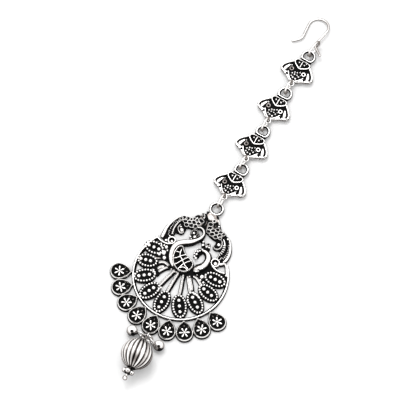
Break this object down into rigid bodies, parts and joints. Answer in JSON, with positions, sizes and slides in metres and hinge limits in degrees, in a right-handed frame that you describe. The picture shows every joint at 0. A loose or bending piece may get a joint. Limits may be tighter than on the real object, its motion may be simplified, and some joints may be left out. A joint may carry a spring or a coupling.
{
  "type": "maang tikka",
  "caption": "Hair-parting jewel: wire hair hook, chain of cast heart-shaped plates and a round openwork peacock pendant with a ribbed bead at its foot.",
  "frame": {"origin": "centre of the pendant's wire rim, on its flat back, which lies on the table", "axes": "+Y along the chain to the hair hook, +X to the right of the pendant's face with the hook at the top, +Z out of the face"},
  "size_m": [0.0522, 0.177, 0.0124],
  "materials": {
    "bright_wire": "bright drawn silver wire, lightly handled",
    "oxidised_casting": "cast silver, blackened in the recesses and polished back on the relief",
    "oxidised_beads": "silver beads with dark tarnish left in the grooves and in spots"
  },
  "bodies": {
    "root": {"hair_hook": "bright_wire", "hook_ring": "bright_wire", "link_ring_1": "bright_wire", "link_ring_2": "bright_wire", "link_ring_3": "bright_wire", "link_ring_4": "bright_wire", "drop_ring": "bright_wire", "chain_plate_1": "oxidised_casting", "chain_plate_2": "oxidised_casting", "chain_plate_3": "oxidised_casting", "chain_plate_4": "oxidised_casting", "pendant": "oxidised_casting", "melon_bead": "oxidised_beads", "granule_spacer": "oxidised_beads", "head_pin": "bright_wire", "side_ball_left": "oxidised_beads", "side_ball_right": "oxidised_beads"}
  },
  "joints": []
}
